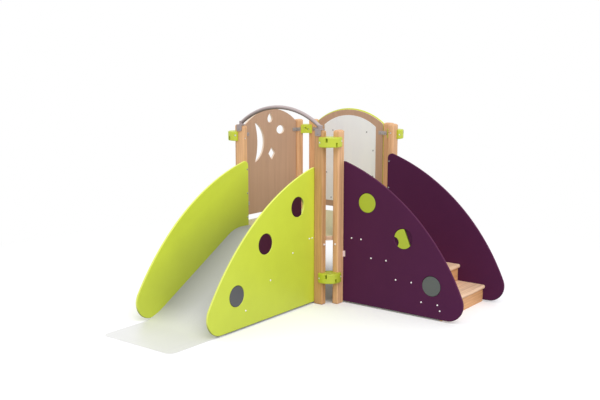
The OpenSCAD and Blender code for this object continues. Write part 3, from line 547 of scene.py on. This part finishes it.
# Treads and landing: pine partly lighter in tone, partly painted light
lit_tread_wood = timber("lit_tread_timber", PINE_TREAD_LIT, Y)
riser_wood = timber("riser_timber", PINE_RISER, Y)
bracket_lime = laminate("bracket_laminate", LIME_BRACKET, ground_shade=True)
near_lime_board, far_lime_board = (
    laminate(name, LIME, edge=LIME_EDGE_HIGHLIGHT, ground_shade=True, slide_side=side)
    for name, side in (("near_lime_board", -1.0), ("far_lime_board", 1.0)))
lime_backing = laminate("lime_backing", LIME, edge=LIME_EDGE_HIGHLIGHT, axis=Y)
purple_board = laminate("purple_board", PURPLE, rough=(0.74, 0.62), sheen=0.12, edge=PURPLE_EDGE_HIGHLIGHT, axis=Y)
purple_disc = disc_laminate("purple_disc_laminate", PURPLE_DISC, X, sheen=0.2)
lime_disc = disc_laminate("lime_disc_laminate", LIME_DISC, Y)
slate_disc = disc_laminate("slate_laminate", SLATE, X)
sage_disc = disc_laminate("sage_laminate", SAGE, Y)
moon_brown = wood_print("moon_laminate", BROWN, BROWN_EDGE, X)
mirror_brown = wood_print("mirror_laminate", BROWN, BROWN_EDGE, Y)
slide_steel = slide_sheet("slide_steel", SLIDE_SLOPE_REFLECTION, SLIDE_FLAT_REFLECTION)
# The mirror's near-white colour is painted reflection
mirror_steel = metal("mirror_steel", MIRROR_PAINTED_REFLECTION, rough=0.34, metallic=0.1, brush=MIRROR_BRUSH, contrast=0.04,
                     deck_shade=True)
# Screws, bolts and nuts near-white as painted glint
screw_steel = metal("screw_steel", SCREW, rough=0.4, metallic=0.2)
panel_screw_steel = metal("panel_screw_steel", PANEL_SCREW, rough=0.4, metallic=0.3)
clip_steel = metal("clip_steel", CLIP, rough=0.34, metallic=0.4)
cleat_steel = metal("cleat_steel", CLEAT, rough=0.4, metallic=0.2)
rail_coat = coated_tube("rail_coat", RAIL)
deck_ply = plywood("deck_plywood", DECK_FILM, PLY_LIGHT, PLY_DARK)

# Materials of the CAD nodes by name, where the first pattern that fits counts
NODE_MATERIALS = (
    ("panel_screws", panel_screw_steel),
    ("*_screws", screw_steel),
    ("*_bolts", screw_steel),
    ("*_nuts", screw_steel),
    ("slide_post_near", near_post_dark_and_shaded_wood),
    ("*_post_*", post_wood),
    ("slide_bearer", bearer_wood_x),
    ("mirror_bearer", bearer_wood_x),
    ("*_bearer", bearer_wood_y),
    ("riser_*", riser_wood),
    ("tread_*", lit_tread_wood),
    ("landing_board", lit_tread_wood),
    ("*_bracket_*", bracket_lime),
    ("slide_panel_near", near_lime_board),
    ("slide_panel_far", far_lime_board),
    ("stair_panel_*", purple_board),
    ("slide_disc_lower", slate_disc),
    ("slide_disc_*", purple_disc),
    ("stair_disc_lower", sage_disc),
    ("stair_disc_*", lime_disc),
    ("moon_panel", moon_brown),
    ("mirror_panel", mirror_brown),
    ("mirror_backing", lime_backing),
    ("mirror_sheet", mirror_steel),
    ("panel_clips", clip_steel),
    ("panel_cleats", cleat_steel),
    ("slide_chute", slide_steel),
    ("handrail", rail_coat),
    ("deck_board", deck_ply),
)


def first_fit(name, table):
    """What a table of patterns gives for a name, by the first pattern that fits."""
    return next(value for pattern, value in table if fnmatchcase(name, pattern))


def soft_edge_marks(name):
    """A node group that marks the sharp edges to soften, and leaves out the short ones of small holes."""
    group = bpy.data.node_groups.new(name, "GeometryNodeTree")
    for way in ("INPUT", "OUTPUT"):
        group.interface.new_socket("Geometry", in_out=way, socket_type="NodeSocketGeometry")
    source = new_node(group, "NodeGroupInput")
    result = new_node(group, "NodeGroupOutput")
    ends = new_node(group, "GeometryNodeInputMeshEdgeVertices").outputs
    length = calculated(group, "DISTANCE", ends["Position 1"], ends["Position 2"],
                        kind="ShaderNodeVectorMath")
    turn = new_node(group, "GeometryNodeInputMeshEdgeAngle").outputs["Unsigned Angle"]
    is_sharp = calculated(group, "GREATER_THAN", turn, math.radians(EDGE_ANGLE))
    is_long = calculated(group, "GREATER_THAN", length, SHORT_EDGE)
    weight = calculated(group, "MULTIPLY", is_sharp, is_long)
    store = new_node(group, "GeometryNodeStoreNamedAttribute")
    store.data_type = "FLOAT"
    store.domain = "EDGE"
    feed(group, store, {"Geometry": source.outputs[0], "Name": "bevel_weight_edge", "Value": weight})
    feed(group, result, {0: store.outputs[0]})
    return group


def soften(obj, width, edge_marks):
    """Rounds the marked edges of a node by modifiers."""
    weld = obj.modifiers.new("weld", "WELD")
    weld.merge_threshold = WELD_GAP
    flats = obj.modifiers.new("flats", "DECIMATE")
    flats.decimate_type = "DISSOLVE"
    flats.angle_limit = math.radians(FLAT_ANGLE)
    marks = obj.modifiers.new("marks", "NODES")
    marks.node_group = edge_marks
    bevel = obj.modifiers.new("edge", "BEVEL")
    bevel.width = width
    bevel.segments = EDGE_STEPS
    bevel.limit_method = "WEIGHT"
    bevel.harden_normals = True


def dress_nodes():
    """Gives every CAD node its material and its soft edges."""
    edge_marks = soft_edge_marks("board_edges")
    for name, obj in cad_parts.items():
        obj.data.materials.clear()
        obj.data.materials.append(first_fit(name, NODE_MATERIALS))
        width = first_fit(name, SOFT_EDGES)
        if width:
            soften(obj, width, edge_marks)


def added(name, data):
    """A new object in the scene."""
    obj = bpy.data.objects.new(name, data)
    bpy.context.scene.collection.objects.link(obj)
    return obj


def circle_points(centre, radius):
    """Points of a circle in the plane of the near stair panel."""
    turns = [2.0 * math.pi * i / SEAT_POINTS for i in range(SEAT_POINTS)]
    return [centre + radius * Vector((math.cos(a), math.sin(a))) for a in turns]


def seat_gaps():
    """Outlines of the two places that the stairs' middle disc leaves open in its seat."""
    seat = Vector(SEAT_CENTRE)
    rim = circle_points(seat, SEAT_R)
    start, end = (seat + DISC_R * Vector(share) for share in STRAIGHT_EDGE)
    way = (end - start).normalized()
    middle = start + way * (seat - start).dot(way)
    half = math.sqrt(SEAT_R ** 2 - (middle - seat).length_squared)
    beside = [q for q in rim if (q - seat).dot(middle - seat) > (middle - seat).length_squared]
    notch = seat + DISC_R * Vector(NOTCH_CENTRE)
    lens = [q for q in rim if (q - notch).length < DISC_R * NOTCH_R]
    lens += [q for q in circle_points(notch, DISC_R * NOTCH_R) if (q - seat).length < SEAT_R]
    return beside + [middle - half * way, middle + half * way], lens


def make_seat_floor():
    """The floor of that seat, deep in the panel, as dark in the gaps as the panel is."""
    shape = bmesh.new()
    for outline in seat_gaps():
        centre = sum(outline, Vector((0.0, 0.0))) / len(outline)
        ring = sorted(outline, key=lambda q: math.atan2(q.y - centre.y, q.x - centre.x))
        layers = [[shape.verts.new((q.x, depth, q.y)) for q in ring] for depth in SEAT_FLOOR_DEPTHS]
        for layer in layers:
            shape.faces.new(layer)
        for i in range(len(ring)):
            shape.faces.new((layers[0][i - 1], layers[0][i], layers[1][i], layers[1][i - 1]))
    bmesh.ops.recalc_face_normals(shape, faces=shape.faces)
    mesh = bpy.data.meshes.new("stair_seat_floor")
    shape.to_mesh(mesh)
    shape.free()
    mesh.materials.append(purple_board)
    floor = added("stair_seat_floor", mesh)
    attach(floor, "root")


def make_world():
    """An even light on the object, and white where the world is seen."""
    world = bpy.data.worlds.new("studio")
    world.use_nodes = True
    tree = world.node_tree
    light = tree.nodes["Background"]
    seen = new_node(tree, "ShaderNodeBackground")
    for background, strength in ((light, WORLD_LIGHT), (seen, WHITE_STRENGTH)):
        feed(tree, background, {"Color": WHITE, "Strength": strength})
    shown = mixed_shaders(tree, white_where_seen(tree), light, seen)
    feed(tree, tree.nodes["World Output"], {"Surface": shown})
    bpy.context.scene.world = world


def floor_material():
    """A pale tone that keeps the object's shadow and goes over to the white background further out."""
    m = Material("floor", Roughness=0.9, Specular_IOR_Level=0.0)
    seen = white_where_seen(m.tree)
    tone = m.tinted(m.noise(scale=1.5, detail=3.0), FLOOR_TONE, dark=0.99, light=1.0)
    m.feed(m.shader, {"Base Color": m.mix(seen, FLOOR_BOUNCE, tone)})
    clear = m.span(m.vector_calc("DISTANCE", m.coords, TOWER), FLOOR_LIFT_FROM, 0.0, FLOOR_LIFT)
    lift = m.node("ShaderNodeEmission")
    m.feed(lift, {"Strength": m.calc("MULTIPLY", clear, seen)})
    lifted = m.node("ShaderNodeAddShader")
    m.feed(lifted, {0: m.shader.outputs[0], 1: lift.outputs[0]})
    white = m.node("ShaderNodeEmission")
    m.feed(white, {"Strength": WHITE_STRENGTH})
    fade = m.span(m.vector_calc("LENGTH", m.coords), FLOOR_FADE, 0.0, 1.0)
    shown = mixed_shaders(m.tree, m.calc("MULTIPLY", fade, seen), lifted, white)
    m.feed(m.tree.nodes["Material Output"], {"Surface": shown})
    return m.mat


def make_floor():
    """The ground that the object stands on."""
    mesh = bpy.data.meshes.new("floor")
    half = FLOOR_SIZE / 2
    corners = [(-half, -half, 0), (half, -half, 0), (half, half, 0), (-half, half, 0)]
    mesh.from_pydata(corners, [], [(0, 1, 2, 3)])
    mesh.materials.append(floor_material())
    floor = added("floor", mesh)


def make_sun():
    """A wide soft sun, high on the camera's side."""
    lamp = bpy.data.lights.new("sun", "SUN")
    lamp.energy = SUN_STRENGTH
    lamp.angle = math.radians(SUN_SOFTNESS)
    sun = added("sun", lamp)
    sun.rotation_euler = SUN_FROM.to_track_quat("Z", "Y").to_euler()


def make_camera():
    """The camera of the main view."""
    data = bpy.data.cameras.new("camera")
    data.lens = CAMERA_LENS
    data.sensor_width = SENSOR_WIDTH
    data.clip_end = CAMERA_REACH
    camera = added("camera", data)
    camera.location = TOWER + CAMERA_FROM_TOWER
    camera.rotation_euler = (math.radians(90.0 - CAMERA_PITCH), 0.0, math.radians(CAMERA_AZIMUTH))
    bpy.context.scene.camera = camera


dress_nodes()
make_seat_floor()
make_world()
make_floor()
make_sun()
make_camera()
bpy.context.scene.view_settings.view_transform = "Standard"
